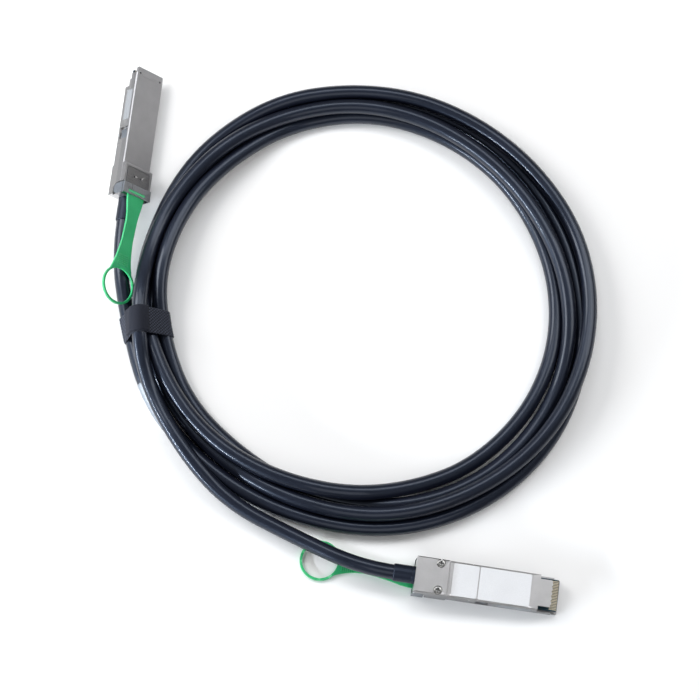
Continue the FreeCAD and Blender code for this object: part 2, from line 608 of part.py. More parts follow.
def row_at(a):
    for r0, r1 in zip(COIL, COIL[1:] + [tuple([COIL[0][0] + 360.0]) + tuple(COIL[0][1:])]):
        if r0[0] <= a <= r1[0]:
            t = (a - r0[0]) / (r1[0] - r0[0])
            return tuple(u + (v - u) * t for u, v in zip(r0, r1))
    return COIL[0]


def strap_solid(coil):
    """A strap of even width round the coil."""
    angs = [STRAP_A0, 185.0, STRAP_A1]
    outer = shell_of([coil_section(row_at(a), STRAP_T, 0.0) for a in angs], False)
    keep = box(80.0, 145.0, STRAP_Y0, STRAP_Y1, -1.0, 40.0)
    keep.Placement = place((STRAP_DIR, 0.0, 0.0), (COIL_C[0], COIL_C[1], 0.0)).multiply(keep.Placement)
    return outer.common(keep).cut(coil)


def sleeve_label():
    a, b, c = [V(*p) for p in LABEL_ARC]
    arc = Part.Arc(a, b, c)
    w = Part.Wire([arc.toShape()])
    t = arc.tangent(arc.FirstParameter)[0]
    o = w.makePipeShell([Part.Wire([Part.makeCircle(LABEL_R, a, t)])], True, False)
    i = w.makePipeShell([Part.Wire([Part.makeCircle(CABLE_R + 0.02, a, t)])], True, False)
    return o.cut(i)


def main():
    os.makedirs("parts", exist_ok=True)
    nodes = {}
    nodes.update(plug("a", A_YPR, A_AT, BOOT_L_A, A_RING, False))
    nodes.update(plug("b", B_YPR, B_AT, BOOT_L_B, B_RING, True))
    nodes["cable_tail_a"] = tube(ROUTE[:TAIL_A_PTS] + [halfway(ROUTE[TAIL_A_PTS - 1], ROUTE[TAIL_A_PTS])], "tail a")
    coil = coil_solid()
    nodes["cable_coil"] = coil
    nodes["cable_tail_b"] = tube([halfway(ROUTE[-TAIL_B_PTS - 1], ROUTE[-TAIL_B_PTS])] + ROUTE[-TAIL_B_PTS:], "tail b")
    nodes["cable_strap"] = strap_solid(coil)
    nodes["cable_label"] = sleeve_label()
    for name, s in nodes.items():
        s.exportStep("parts/" + name + ".step")
    return nodes


NODES = main()
for _n, _s in NODES.items():
    _b = _s.optimalBoundingBox(False, False)
    print("%-20s solids %2d valid %s vol %9.2f  x %.2f..%.2f y %.2f..%.2f z %.2f..%.2f" % (
        _n, len(_s.Solids), _s.isValid(), _s.Volume, _b.XMin, _b.XMax, _b.YMin, _b.YMax, _b.ZMin, _b.ZMax))
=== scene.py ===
import bpy
import bmesh
import math
from mathutils import Vector, Matrix, Euler


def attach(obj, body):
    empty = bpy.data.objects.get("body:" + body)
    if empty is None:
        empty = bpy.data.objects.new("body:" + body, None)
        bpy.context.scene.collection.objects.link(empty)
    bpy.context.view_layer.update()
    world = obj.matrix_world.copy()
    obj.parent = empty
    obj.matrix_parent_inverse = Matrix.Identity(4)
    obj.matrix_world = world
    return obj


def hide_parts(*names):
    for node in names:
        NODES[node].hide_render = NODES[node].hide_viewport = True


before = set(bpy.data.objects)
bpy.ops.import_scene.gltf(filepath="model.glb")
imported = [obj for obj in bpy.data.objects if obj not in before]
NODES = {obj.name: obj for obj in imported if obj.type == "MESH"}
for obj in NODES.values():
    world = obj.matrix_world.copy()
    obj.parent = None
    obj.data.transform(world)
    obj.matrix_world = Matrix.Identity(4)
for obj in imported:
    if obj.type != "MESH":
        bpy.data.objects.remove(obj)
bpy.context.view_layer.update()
ROOT = "cable_and_plugs"

MM = 0.001

# ------------------------------------------------------------------ camera
LOOK = Vector((0.01102, -0.00687, 0.0))
DIST = 1.164
ELEV = math.radians(72.0)
cam_data = bpy.data.cameras.new("camera")
cam = bpy.data.objects.new("camera", cam_data)
bpy.context.scene.collection.objects.link(cam)
cam.location = LOOK + Vector((0.0, -DIST * math.cos(ELEV), DIST * math.sin(ELEV)))
cam.rotation_euler = Euler((math.radians(90.0 - 72.0), 0.0, 0.0))
cam_data.sensor_width = 36.0
cam_data.sensor_fit = "HORIZONTAL"
cam_data.lens = 2220.0 / 700.0 * 36.0
cam_data.clip_start = 0.05
cam_data.clip_end = 20.0
cam_data.dof.use_dof = False
bpy.context.scene.camera = cam

# ------------------------------------------------- placement of the two plugs
def plug_matrix(ypr, at):
    y, p, r = (math.radians(a) for a in ypr)
    m = Matrix.Rotation(y, 4, "Z") @ Matrix.Rotation(p, 4, "Y") @ Matrix.Rotation(r, 4, "X")
    return Matrix.Translation(Vector(at) * MM) @ m


PLUG_A = plug_matrix((83.92, 0.70, 225.50), (-104.28, 73.78, 13.338))
PLUG_B = plug_matrix((-7.88, 3.80, 0.00), (43.33, -128.99, 4.878))

# --------------------------------------------------------------------- cable
CABLE_R = 3.9 * MM
ROUTE = [
    (-0.10868, 0.06114, 0.01052), (-0.11082, 0.04108, 0.01076), (-0.10550, 0.00742, 0.00522),
    (-0.09518, -0.03160, 0.00416), (-0.07412, -0.06142, 0.00423), (-0.04430, -0.08544, 0.00391),
    (-0.00938, -0.10006, 0.00402), (0.02778, -0.10534, 0.00394), (0.06504, -0.09766, 0.00396),
    (0.09778, -0.07780, 0.00395), (0.12098, -0.04839, 0.00395), (0.13286, -0.01218, 0.00395),
    (0.13200, 0.02599, 0.00395), (0.12240, 0.06190, 0.00395), (0.10200, 0.09452, 0.00395),
    (0.07365, 0.11857, 0.00395), (0.03780, 0.13361, 0.00395), (0.00096, 0.13514, 0.00397),
    (-0.03524, 0.12126, 0.00394), (-0.06392, 0.09615, 0.00400), (-0.08290, 0.06516, 0.00390),
    (-0.09222, 0.02548, 0.00481), (-0.09604, -0.00744, 0.00506), (-0.07626, -0.04604, 0.00378),
    (-0.05172, -0.07076, 0.00425), (-0.01926, -0.09000, 0.00871), (0.01894, -0.09893, 0.00891),
    (0.05532, -0.09446, 0.01022), (0.09016, -0.07738, 0.00998), (0.11698, -0.05130, 0.01202),
    (0.13306, -0.01670, 0.01220), (0.13780, 0.02096, 0.01050), (0.13051, 0.05794, 0.00914),
    (0.11030, 0.09010, 0.01118), (0.08216, 0.11536, 0.01176), (0.04808, 0.13179, 0.01213),
    (0.01074, 0.13674, 0.01164), (-0.02706, 0.13036, 0.01223), (-0.06076, 0.11130, 0.00590),
    (-0.08234, 0.08480, 0.00442), (-0.09776, 0.04462, 0.00351), (-0.09816, 0.01302, 0.01377),
    (-0.08508, -0.02654, 0.01179), (-0.06403, -0.05590, 0.01100), (-0.03302, -0.07688, 0.01185),
    (0.00605, -0.08814, 0.01309), (0.04180, -0.08384, 0.00600), (0.07516, -0.07047, 0.00374),
    (0.10330, -0.04274, 0.00425), (0.11850, -0.00798, 0.00392), (0.12000, 0.02940, 0.00399),
    (0.10814, 0.06604, 0.00393), (0.08604, 0.09638, 0.00402), (0.05410, 0.11748, 0.00390),
    (0.01780, 0.12638, 0.00442), (-0.02120, 0.11988, 0.00358), (-0.05150, 0.09904, 0.00878),
    (-0.07586, 0.07186, 0.01073), (-0.08974, 0.03271, 0.01443), (-0.08672, -0.00222, 0.00720),
    (-0.07392, -0.03618, 0.00359), (-0.04706, -0.06422, 0.00447), (-0.01546, -0.08410, 0.00392),
    (0.02244, -0.09332, 0.00398), (0.05910, -0.08798, 0.00393), (0.09208, -0.06910, 0.00430),
    (0.11632, -0.03780, 0.00369), (0.12678, -0.00288, 0.00725), (0.12386, 0.03456, 0.01090),
    (0.10840, 0.06972, 0.01170), (0.08418, 0.09844, 0.01215), (0.05278, 0.11940, 0.01186),
    (0.01571, 0.12885, 0.01190), (-0.02192, 0.12358, 0.01047), (-0.05526, 0.10588, 0.01327),
    (-0.08178, 0.07708, 0.01064), (-0.09516, 0.04502, 0.01224), (-0.09930, 0.00600, 0.02314),
    (-0.09494, -0.02766, 0.01091), (-0.07462, -0.06486, 0.01357), (-0.05136, -0.09040, 0.00579),
    (-0.01652, -0.10874, 0.00569), (0.01562, -0.12514, 0.01100), (0.03274, -0.12752, 0.00985),
]


def nurbs(name, pts, radius, res_u, res_b):
    cu = bpy.data.curves.new(name, "CURVE")
    cu.dimensions = "3D"
    cu.resolution_u = res_u
    sp = cu.splines.new("NURBS")
    sp.points.add(len(pts) - 1)
    for q, p in zip(sp.points, pts):
        q.co = (p[0], p[1], p[2], 1.0)
        q.radius = radius
    sp.order_u = 3
    sp.use_endpoint_u = True
    cu.bevel_depth = 1.0
    cu.bevel_resolution = res_b
    cu.use_fill_caps = True
    ob = bpy.data.objects.new(name, cu)
    bpy.context.scene.collection.objects.link(ob)
    return ob


cable = nurbs("round_cable", ROUTE, CABLE_R, 12, 7)
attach(cable, ROOT)
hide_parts("cable_tail_a", "cable_coil", "cable_tail_b")


def centreline():
    """Points along the cable's own spline, with their running length."""
    cu = cable.data.copy()
    cu.bevel_depth = 0.0
    cu.resolution_u = 24
    tmp = bpy.data.objects.new("tmp_line", cu)
    bpy.context.scene.collection.objects.link(tmp)
    me = bpy.data.meshes.new_from_object(tmp)
    pts = [v.co.copy() for v in me.vertices]
    bpy.data.objects.remove(tmp)
    bpy.data.curves.remove(cu)
    bpy.data.meshes.remove(me)
    if (pts[0] - Vector(ROUTE[0])).length > (pts[-1] - Vector(ROUTE[0])).length:
        pts.reverse()
    s = [0.0]
    for a, b in zip(pts, pts[1:]):
        s.append(s[-1] + (b - a).length)
    return pts, s


LINE, RUN = centreline()
COIL_C = Vector((19.39, 12.56)) * MM


# ------------------------------------------------------------------ materials
class Mat:
    """A node material with small helpers."""

    def __init__(self, name):
        self.m = bpy.data.materials.new(name)
        self.m.use_nodes = True
        self.t = self.m.node_tree
        self.n = self.t.nodes
        self.n.clear()
        self.out = self.n.new("ShaderNodeOutputMaterial")
        self.b = self.n.new("ShaderNodeBsdfPrincipled")
        self.link(self.b.outputs[0], self.out.inputs[0])
        self.tc = self.n.new("ShaderNodeTexCoord")
        self.co = self.tc.outputs["Object"]

    def link(self, a, b):
        self.t.links.new(a, b)

    def set(self, **kw):
        for k, v in kw.items():
            self.b.inputs[k.replace("_", " ")].default_value = v
        return self

    def mapped(self, matrix=None, scale=(1, 1, 1)):
        """Coordinates in a plug's own frame, or scaled object coordinates."""
        co = self.co
        if matrix is not None:
            inv = matrix.inverted()
            mp = self.n.new("ShaderNodeMapping")
            mp.inputs["Location"].default_value = inv.to_translation()
            mp.inputs["Rotation"].default_value = inv.to_euler("XYZ")
            self.link(co, mp.inputs["Vector"])
            co = mp.outputs[0]
        if scale != (1, 1, 1):
            mp = self.n.new("ShaderNodeMapping")
            mp.inputs["Scale"].default_value = scale
            self.link(co, mp.inputs["Vector"])
            co = mp.outputs[0]
        return co

    def facing(self, plug):
        """How far a face looks sideways in the plug's own frame, 0 to 1."""
        mp = self.n.new("ShaderNodeMapping")
        mp.vector_type = "VECTOR"
        mp.inputs["Rotation"].default_value = plug.inverted().to_euler("XYZ")
        self.link(self.tc.outputs["Normal"], mp.inputs["Vector"])
        sx = self.n.new("ShaderNodeSeparateXYZ")
        self.link(mp.outputs[0], sx.inputs[0])
        return self.math("ABSOLUTE", sx.outputs["Y"])

    def noise(self, scale, detail=3.0, rough=0.5, co=None, dist=0.0):
        t = self.n.new("ShaderNodeTexNoise")
        t.inputs["Scale"].default_value = scale
        t.inputs["Detail"].default_value = detail
        t.inputs["Roughness"].default_value = rough
        t.inputs["Distortion"].default_value = dist
        self.link(co or self.co, t.inputs["Vector"])
        return t.outputs["Fac"]

    def voronoi(self, scale, co=None, feature="F1", out="Distance"):
        t = self.n.new("ShaderNodeTexVoronoi")
        t.feature = feature
        t.inputs["Scale"].default_value = scale
        self.link(co or self.co, t.inputs["Vector"])
        return t.outputs[out]

    def wave(self, scale, direction="X", dist=0.0, co=None, profile="SIN", dscale=1.0):
        t = self.n.new("ShaderNodeTexWave")
        t.wave_type = "BANDS"
        t.bands_direction = direction
        t.wave_profile = profile
        t.inputs["Scale"].default_value = scale
        t.inputs["Distortion"].default_value = dist
        t.inputs["Detail Scale"].default_value = dscale
        self.link(co or self.co, t.inputs["Vector"])
        return t.outputs["Fac"]

    def range(self, fac, a, b, lo=0.0, hi=1.0):
        t = self.n.new("ShaderNodeMapRange")
        t.inputs["From Min"].default_value = lo
        t.inputs["From Max"].default_value = hi
        t.inputs["To Min"].default_value = a
        t.inputs["To Max"].default_value = b
        self.link(fac, t.inputs["Value"])
        return t.outputs[0]

    def math(self, op, a, b=None):
        t = self.n.new("ShaderNodeMath")
        t.operation = op
        for i, v in enumerate((a, b)):
            if v is None:
                continue
            if isinstance(v, (int, float)):
                t.inputs[i].default_value = v
            else:
                self.link(v, t.inputs[i])
        return t.outputs[0]

    def mix(self, fac, a, b):
        t = self.n.new("ShaderNodeMix")
        t.data_type = "RGBA"
        if isinstance(fac, (int, float)):
            t.inputs[0].default_value = fac
        else:
            self.link(fac, t.inputs[0])
        for i, v in ((6, a), (7, b)):
            if isinstance(v, tuple):
                t.inputs[i].default_value = v if len(v) == 4 else (*v, 1.0)
            else:
                self.link(v, t.inputs[i])
        return t.outputs[2]

    def color(self, out):
        self.link(out, self.b.inputs["Base Color"])

    def rough(self, out):
        self.link(out, self.b.inputs["Roughness"])

    def bump(self, height, strength, distance):
        t = self.n.new("ShaderNodeBump")
        t.inputs["Strength"].default_value = strength
        t.inputs["Distance"].default_value = distance
        self.link(height, t.inputs["Height"])
        if self.b.inputs["Normal"].is_linked:
            self.link(self.b.inputs["Normal"].links[0].from_socket, t.inputs["Normal"])
        self.link(t.outputs[0], self.b.inputs["Normal"])
        return self

    def edges(self, lo=0.53, hi=0.62):
        g = self.n.new("ShaderNodeNewGeometry")
        return self.range(g.outputs["Pointiness"], 0.0, 1.0, lo, hi)


def jacket_material():
    m = Mat("jacket_pvc")
    big = m.noise(60, 4)
    fine = m.noise(900, 5, 0.65)
    c = m.mix(m.range(big, 0, 1, 0.35, 0.7), (0.0036, 0.0046, 0.0098), (0.0060, 0.0075, 0.0150))
    dust = m.range(m.noise(2600, 2, 0.7), 0, 1, 0.66, 0.8)
    c = m.mix(m.math("MULTIPLY", dust, 0.18), c, (0.045, 0.054, 0.075))
    m.color(c)
    m.rough(m.range(fine, 0.30, 0.44, 0.3, 0.7))
    m.b.inputs["Specular IOR Level"].default_value = 0.44
    m.b.inputs["Specular Tint"].default_value = (0.60, 0.74, 1.0, 1.0)
    m.set(Coat_Weight=0.30, Coat_Roughness=0.12, Coat_IOR=1.5)
    m.bump(m.noise(1600, 4, 0.6), 0.20, 0.00006)
    m.bump(m.noise(120, 2), 0.12, 0.0004)
    return m.m


def cast_material(name, plug, tint=(0.46, 0.455, 0.45), rough=(0.28, 0.40), side=0.55):
    m = Mat(name)
    co = m.mapped(plug)
    big = m.noise(140, 4, 0.55, co)
    grain = m.noise(2600, 4, 0.7, co)
    lo = tuple(v * 0.94 for v in tint)
    hi = tuple(min(1.0, v * 1.04) for v in tint)
    c = m.mix(m.range(big, 0, 1, 0.3, 0.7), lo, hi)
    speck = m.range(m.noise(1500, 3, 0.7, co), 0, 1, 0.62, 0.75)
    c = m.mix(m.math("MULTIPLY", speck, 0.35), c, tuple(v * 0.62 for v in tint))
    # painted shade: the side walls, found by their sideways normal in the plug's frame, are painted a darker grey than
    # the broad faces
    painted_wall_shade = m.range(m.facing(plug), 0, 1, 0.6, 0.9)
    c = m.mix(m.math("MULTIPLY", painted_wall_shade, 0.85), c, tuple(v * side for v in tint))
    e = m.edges(0.56, 0.70)
    c = m.mix(m.math("MULTIPLY", e, 0.25), c, (0.75, 0.75, 0.75))
    m.color(c)
    m.set(Metallic=0.95)
    m.rough(m.range(grain, rough[0], rough[1], 0.3, 0.7))
    m.bump(grain, 0.35, 0.00008)
    # faint draw lines along the plug
    draw = m.noise(1.0, 3, 0.6, m.mapped(plug, (90, 2400, 2400)))
    m.bump(draw, 0.10, 0.00005)
    return m.m


def steel_material(name, plug, tint=(0.42, 0.43, 0.455), along="X", grain=1.0):
    m = Mat(name)
    sc = (120, 4200, 4200) if along == "X" else (4200, 120, 4200)
    brush = m.noise(1.0, 4, 0.65, m.mapped(plug, sc))
    big = m.noise(200, 3, 0.5)
    c = m.mix(m.range(brush, 0, 1, 0.25, 0.75), tuple(v * (1 - 0.16 * grain) for v in tint), tuple(min(1, v * (1 + 0.1 * grain)) for v in tint))
    # painted shade: the side walls are painted darker than the broad faces
    painted_wall_shade = m.range(m.facing(plug), 0, 1, 0.6, 0.9)
    c = m.mix(m.math("MULTIPLY", painted_wall_shade, 0.9), c, (tint[0] * 0.42, tint[1] * 0.46, tint[2] * 0.50))
    # painted shade: the pressed dimples and sheared inner edges, in a band just inside the plate's face, are painted
    # near black
    sx = m.n.new("ShaderNodeSeparateXYZ")
    m.link(m.mapped(plug), sx.inputs[0])
    recess_shade = m.math("MULTIPLY", m.range(sx.outputs["Z"], 0, 1, -0.00238, -0.00230), m.range(sx.outputs["Z"], 1, 0, -0.0019, -0.0018))
    c = m.mix(m.math("MULTIPLY", recess_shade, 0.92), c, (0.03, 0.03, 0.034))
    m.color(c)
    m.set(Metallic=1.0)
    m.rough(m.math("ADD", m.range(brush, 0.28 - 0.08 * grain, 0.28 + 0.08 * grain, 0.3, 0.7), m.range(big, 0.0, 0.08 * grain, 0.3, 0.7)))
    m.bump(brush, 0.18 * grain, 0.00005)
    return m.m


def tab_material(name, plug):
    m = Mat(name)
    co = m.mapped(plug)
    big = m.noise(90, 3, 0.5, co)
    c = m.mix(m.range(big, 0, 1, 0.3, 0.7), (0.022, 0.37, 0.138), (0.038, 0.46, 0.180))
    # painted highlight: the rounded edges are painted a paler green, as if light caught them and shone through
    e = m.edges(0.52, 0.60)
    c = m.mix(m.math("MULTIPLY", e, 0.6), c, (0.25, 0.78, 0.42))
    m.color(c)
    m.rough(m.range(m.noise(1300, 3, 0.6, co), 0.30, 0.44, 0.3, 0.7))
    m.set(Subsurface_Weight=0.35, Subsurface_Scale=0.0016, Subsurface_Radius=(0.25, 1.0, 0.45), Specular_IOR_Level=0.5)
    m.bump(m.noise(1100, 3, 0.6, co), 0.15, 0.00006)
    return m.m


def label_material(name, plug, tone=(0.76, 0.77, 0.79)):
    m = Mat(name)
    co = m.mapped(plug)
    fib = m.noise(1800, 4, 0.6, co)
    c = m.mix(m.range(fib, 0, 1, 0.3, 0.7), tuple(v * 0.96 for v in tone), tuple(v * 1.04 for v in tone))
    c = m.mix(m.range(m.noise(70, 3, 0.5, co), 0, 0.5, 0.45, 0.8), c, tuple(v * 0.92 for v in tone))
    m.color(c)
    m.rough(m.range(m.noise(300, 3, 0.6, co), 0.34, 0.52, 0.3, 0.7))
    m.set(Specular_IOR_Level=0.3)
    m.bump(fib, 0.08, 0.00004)
    return m.m


def board_material(plug, name):
    m = Mat(name)
    co = m.mapped(plug)
    tr = m.wave(380, "Y", 0.0, co, "SAW")
    trace = m.range(tr, 0, 1, 0.45, 0.55)
    weave = m.noise(2600, 2, 0.6, co)
    c = m.mix(trace, (0.004, 0.016, 0.030), (0.010, 0.045, 0.065))
    c = m.mix(m.range(weave, 0, 0.3, 0.5, 0.8), c, (0.02, 0.07, 0.05))
    m.color(c)
    m.rough(m.range(weave, 0.22, 0.36, 0.3, 0.7))
    m.bump(trace, 0.25, 0.00003)
    m.set(Coat_Weight=0.3, Coat_Roughness=0.15)
    return m.m


def simple_metal(name, col, rough, plug=None, scale=1800, metallic=1.0):
    m = Mat(name)
    co = m.mapped(plug)
    n = m.noise(scale, 3, 0.6, co)
    c = m.mix(m.range(n, 0, 1, 0.3, 0.7), tuple(v * 0.85 for v in col), tuple(min(1, v * 1.1) for v in col))
    m.color(c)
    m.set(Metallic=metallic)
    m.rough(m.range(n, rough * 0.8, rough * 1.25, 0.3, 0.7))
    m.bump(n, 0.12, 0.00004)
    return m.m


def screw_material(name, plug):
    """Zinc plated head; below its top, the rim gap and the recess are painted near black as shade."""
    m = Mat(name)
    co = m.mapped(plug)
    sx = m.n.new("ShaderNodeSeparateXYZ")
    m.link(co, sx.inputs[0])
    n = m.noise(1800, 3, 0.6, co)
    c = m.mix(m.range(n, 0, 1, 0.3, 0.7), (0.33, 0.33, 0.32), (0.44, 0.435, 0.42))
    # painted shade: everything below the head's top face, the rim gap and the recess, is painted near black and made
    # rougher
    low_shade = m.range(sx.outputs["Z"], 1, 0, 0.00900, 0.00922)
    c = m.mix(m.math("MULTIPLY", low_shade, 0.93), c, (0.03, 0.03, 0.034))
    m.color(c)
    m.set(Metallic=1.0)
    m.rough(m.math("ADD", m.range(n, 0.26, 0.38, 0.3, 0.7), m.math("MULTIPLY", low_shade, 0.3)))
    m.bump(n, 0.12, 0.00004)
    return m.m


def plastic(name, lo, hi, rough, scale=1500, bump=0.2, spec=0.5, cool=False):
    m = Mat(name)
    n = m.noise(scale, 4, 0.65)
    b = m.noise(scale / 14, 3, 0.5)
    m.color(m.mix(m.range(b, 0, 1, 0.3, 0.7), lo, hi))
    m.rough(m.range(n, rough * 0.85, rough * 1.2, 0.3, 0.7))
    m.set(Specular_IOR_Level=spec)
    if cool:
        m.b.inputs["Specular Tint"].default_value = (0.60, 0.74, 1.0, 1.0)
    m.bump(n, bump, 0.00006)
    return m.m


def dress(node, mat, bevel=0.0, segs=2, angle=35.0, smooth=32.0):
    """Material, soft edges and smooth round faces for a CAD node."""
    ob = NODES[node]
    ob.data.materials.clear()
    ob.data.materials.append(mat)
    for p in ob.data.polygons:
        p.material_index = 0
    ob.data.shade_smooth()
    ob.data.set_sharp_from_angle(angle=math.radians(smooth))
    if bevel > 0:
        w = ob.modifiers.new("weld", "WELD")
        w.merge_threshold = 0.000002
        b = ob.modifiers.new("edge", "BEVEL")
        b.width = bevel * MM
        b.segments = segs
        b.limit_method = "ANGLE"
        b.angle_limit = math.radians(angle)
        b.use_clamp_overlap = True
        b.harden_normals = False
        n = ob.modifiers.new("flat_faces", "WEIGHTED_NORMAL")
        n.mode = "FACE_AREA"
        n.weight = 80
        n.keep_sharp = True
    return ob


jacket = jacket_material()
cable.data.materials.append(jacket)
for tag, M in (("a", PLUG_A), ("b", PLUG_B)):
    # side sets how dark the painted shade on each plug's side walls is
    cast = cast_material("cast_lower_" + tag, M, (0.44, 0.435, 0.445), side=0.44 if tag == "a" else 0.50)
    cast2 = cast_material("cast_upper_" + tag, M, (0.68, 0.67, 0.67), side=0.31 if tag == "a" else 0.36)
    steel = steel_material("latch_steel_" + tag, M)
    steel2 = steel_material("retainer_steel_" + tag, M, (0.35, 0.345, 0.35), "Y", 0.3)
    dress("base_shell_" + tag, cast, 0.16)
    dress("cover_shell_" + tag, cast2, 0.16)
    dress("cover_screws_" + tag, screw_material("screw_zinc_" + tag, M), 0.04)
    dress("paddle_card_" + tag, board_material(M, "solder_mask_" + tag), 0.05)
    dress("contact_pads_" + tag, simple_metal("hard_gold_" + tag, (0.60, 0.53, 0.40), 0.40, M, 2600))
    dress("memory_chip_" + tag, plastic("chip_epoxy_" + tag, (0.012, 0.012, 0.014), (0.02, 0.02, 0.022), 0.55), 0.05)
    dress("twinax_pairs_" + tag, plastic("pair_foil_" + tag, (0.50, 0.54, 0.60), (0.62, 0.66, 0.72), 0.35), 0.15)
    dress("crimp_ferrule_" + tag, simple_metal("tinned_ferrule_" + tag, (0.62, 0.60, 0.55), 0.32, M), 0.1)
    dress("cable_end_" + tag, jacket)
    dress("cable_boot_" + tag, plastic("boot_sleeve_" + tag, (0.0040, 0.0050, 0.0105), (0.0068, 0.0084, 0.0160), 0.42, 1200, 0.25, 0.42, True), 0.12)
    dress("latch_slider_" + tag, steel, 0.08)
    dress("return_springs_" + tag, simple_metal("spring_wire_" + tag, (0.56, 0.56, 0.58), 0.28, M))
    dress("latch_retainer_" + tag, steel2, 0.08)
    dress("pull_tab_" + tag, tab_material("tab_green_" + tag, M), 0.32, 3)
    film = label_material("label_film_" + tag, M)
    for n in ("rear_label_", "front_label_"):
        dress(n + tag, film, 0.02, 1)
    # painted shade: the side label uses the label film in a much darker tone than the front and rear labels, though it
    # is the same white film
    dress("side_label_" + tag, label_material("shaded_side_film_" + tag, M, (0.26, 0.27, 0.285)), 0.02, 1)


# -------------------------------------------------------------- mesh helpers
def mesh_object(name, verts, faces, mat, body=ROOT, smooth=True, sharp=40.0):
    me = bpy.data.meshes.new(name)
    me.from_pydata([tuple(v) for v in verts], [], faces)
    me.update()
    ob = bpy.data.objects.new(name, me)
    bpy.context.scene.collection.objects.link(ob)
    bm = bmesh.new()
    bm.from_mesh(me)
    bmesh.ops.recalc_face_normals(bm, faces=bm.faces)
    bm.to_mesh(me)
    bm.free()
    if smooth:
        me.shade_smooth()
        me.set_sharp_from_angle(angle=math.radians(sharp))
    if mat:
        me.materials.append(mat)
    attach(ob, body)
    return ob


def hull2d(pts):
    pts = sorted(set(pts))

    def half(ps):
        out = []
        for p in ps:
            while len(out) >= 2 and (out[-1][0] - out[-2][0]) * (p[1] - out[-2][1]) - (out[-1][1] - out[-2][1]) * (p[0] - out[-2][0]) <= 0:
                out.pop()
            out.append(p)
        return out[:-1]
    return half(pts) + half(reversed(pts))


def polar(p):
    d = Vector((p.x, p.y)) - COIL_C
    return math.degrees(math.atan2(d.y, d.x)) % 360.0, d.length


POL = [polar(p) for p in LINE]


STRAP_DIR = math.radians(185.65)
STRAP_V0, STRAP_V1 = -8.35 * MM, 5.15 * MM
E_R = Vector((math.cos(STRAP_DIR), math.sin(STRAP_DIR)))
E_T = Vector((-math.sin(STRAP_DIR), math.cos(STRAP_DIR)))
CROSS = [((Vector((p.x, p.y)) - COIL_C).dot(E_R), (Vector((p.x, p.y)) - COIL_C).dot(E_T)) for p in LINE]


def crossings(tau):
    """(distance out, height) of every strand where it crosses the plane that
    lies tau to the side of the strap's own line."""
    out = []
    for i in range(len(LINE) - 1):
        r0, a0 = CROSS[i]
        r1, a1 = CROSS[i + 1]
        if r0 < 0.06 or a0 == a1:
            continue
        if (a0 - tau) * (a1 - tau) <= 0:
            t = (tau - a0) / (a1 - a0)
            out.append((r0 + (r1 - r0) * t, LINE[i].z + (LINE[i + 1].z - LINE[i].z) * t))
    return out


# --------------------------------------------------------------------- strap
def strap_profile(tau, grow):
    pts = []
    for r, z in crossings(tau):
        for k in range(48):
            t = 2 * math.pi * k / 48
            pts.append((r + (CABLE_R + grow) * math.cos(t), z + (CABLE_R + grow) * math.sin(t)))
    return hull2d(pts)


def resample(poly, n, start_dir=math.pi):
    """n points at equal steps round a closed outline, starting where the ray
    start_dir from its middle leaves it, going over the top."""
    cx = sum(p[0] for p in poly) / len(poly)
    cz = sum(p[1] for p in poly) / len(poly)
    m = len(poly)
    best = min(range(m), key=lambda i: abs(math.atan2(math.sin(math.atan2(poly[i][1] - cz, poly[i][0] - cx) - start_dir),
                                                      math.cos(math.atan2(poly[i][1] - cz, poly[i][0] - cx) - start_dir))))
    ring = [poly[(best - k) % m] for k in range(m + 1)]
    seg = [math.dist(a, b) for a, b in zip(ring, ring[1:])]
    tot = sum(seg)
    out = []
    i, acc = 0, 0.0
    for k in range(n):
        want = tot * k / n
        while acc + seg[i] < want:
            acc += seg[i]
            i += 1
        t = (want - acc) / seg[i] if seg[i] > 0 else 0
        out.append((ring[i][0] + (ring[i + 1][0] - ring[i][0]) * t, ring[i][1] + (ring[i + 1][1] - ring[i][1]) * t))
    return out, tot


STRAP_N, STRAP_W = 560, 66


def strap_grid():
    rows = []
    for j in range(STRAP_W + 1):
        a = STRAP_V0 + (STRAP_V1 - STRAP_V0) * j / STRAP_W
        rows.append(resample(strap_profile(a, 0.06 * MM), STRAP_N, 0.0)[0])
    # even out the small steps from one station to the next
    for _ in range(6):
        new = []
        for j in range(len(rows)):
            lo, hi = rows[max(0, j - 1)], rows[min(len(rows) - 1, j + 1)]
            new.append([((a[0] + 2 * b[0] + c[0]) / 4, (a[1] + 2 * b[1] + c[1]) / 4) for a, b, c in zip(lo, rows[j], hi)])
        rows = new
    return rows


def to_world(tau, rz):
    p = COIL_C + E_R * rz[0] + E_T * tau
    return Vector((p.x, p.y, rz[1]))


def strap_material(name, kind):
    """Woven hook and loop tape: fine pile on raised twill ribs, with its colour painted lighter on the crests and
    darker in the hollows as highlight and shade.
    """
    m = Mat(name)
    uv = m.n.new("ShaderNodeAttribute")
    uv.attribute_name = "tape"
    v = uv.outputs["Vector"]
    pile = m.noise(2600, 4, 0.7)
    soft = m.noise(300, 3, 0.6)
    rib = m.n.new("ShaderNodeSeparateXYZ")
    m.link(v, rib.inputs[0])
    h = rib.outputs["Z"]
    lo, hi = ((0.0012, 0.0016, 0.0040), (0.048, 0.056, 0.084)) if kind == "rib" else ((0.0035, 0.0045, 0.0095), (0.015, 0.018, 0.031))
    # painted highlight and shade: the colour follows the weave height stored in the tape attribute, light on the
    # crests, dark in the hollows
    c = m.mix(h, lo, hi)
    c = m.mix(m.math("MULTIPLY", m.range(pile, 0, 1, 0.45, 0.75), 0.25), c, (0.040, 0.045, 0.062))
    m.color(c)
    m.rough(m.range(pile, 0.62, 0.85, 0.3, 0.7))
    m.set(Specular_IOR_Level=0.25, Sheen_Weight=0.06, Sheen_Roughness=0.4)
    m.bump(pile, 0.5, 0.00012)
    m.bump(soft, 0.2, 0.0002)
    return m.m


